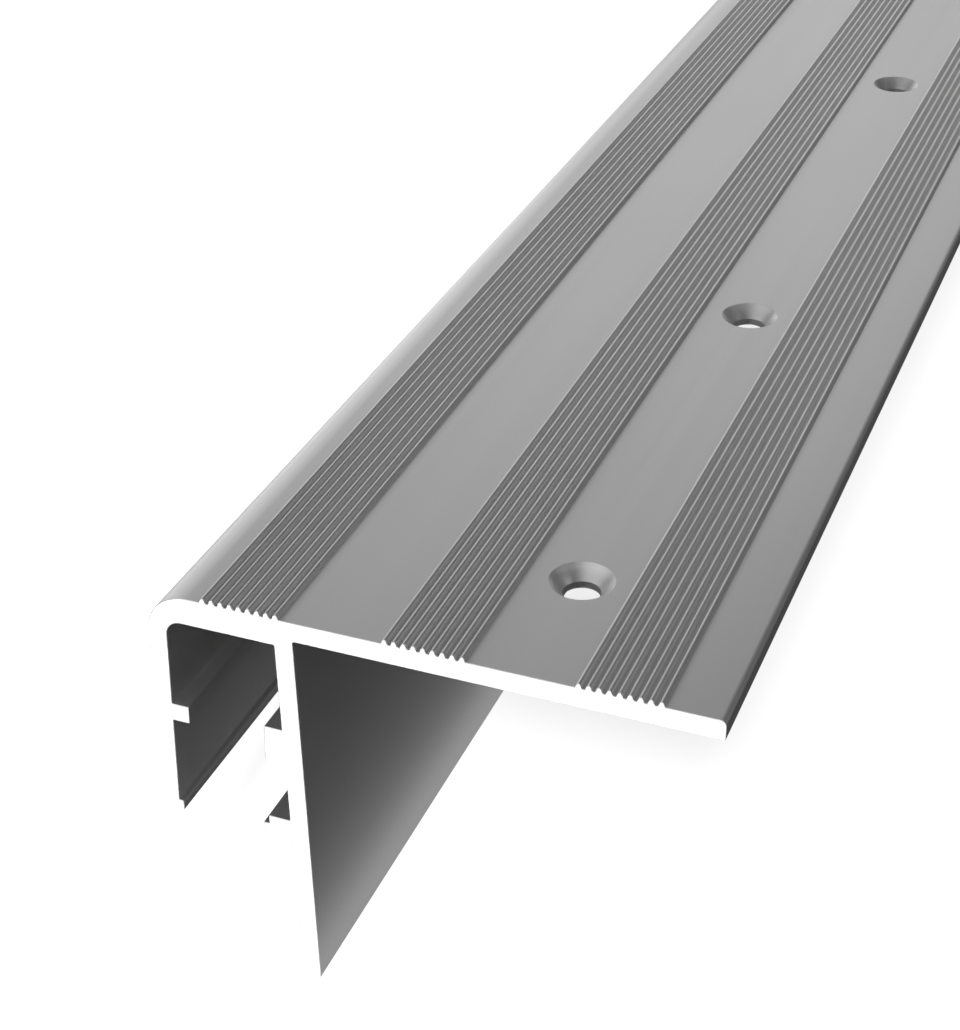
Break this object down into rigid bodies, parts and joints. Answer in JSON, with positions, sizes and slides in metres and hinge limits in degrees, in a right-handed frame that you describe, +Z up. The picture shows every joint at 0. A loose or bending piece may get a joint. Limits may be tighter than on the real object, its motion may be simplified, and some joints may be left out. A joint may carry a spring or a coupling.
{
  "type": "stair nosing profile",
  "caption": "Aluminium stair nosing with a ribbed tread flange, a row of countersunk holes, a rounded nose, and a lugged channel between a short front leg and a long rear leg.",
  "frame": {"origin": "on the underside of the tread flange, at mid-length, midway between the rear leg's back and the screw row", "axes": "+Y along the extrusion, +X from the nose towards the flange's rear edge, +Z up out of the ribbed tread"},
  "size_m": [0.0732, 1, 0.0576],
  "materials": {
    "anodised_aluminium": "silver matt anodised"
  },
  "bodies": {
    "root": {"stair_nosing_profile": "anodised_aluminium"}
  },
  "joints": []
}
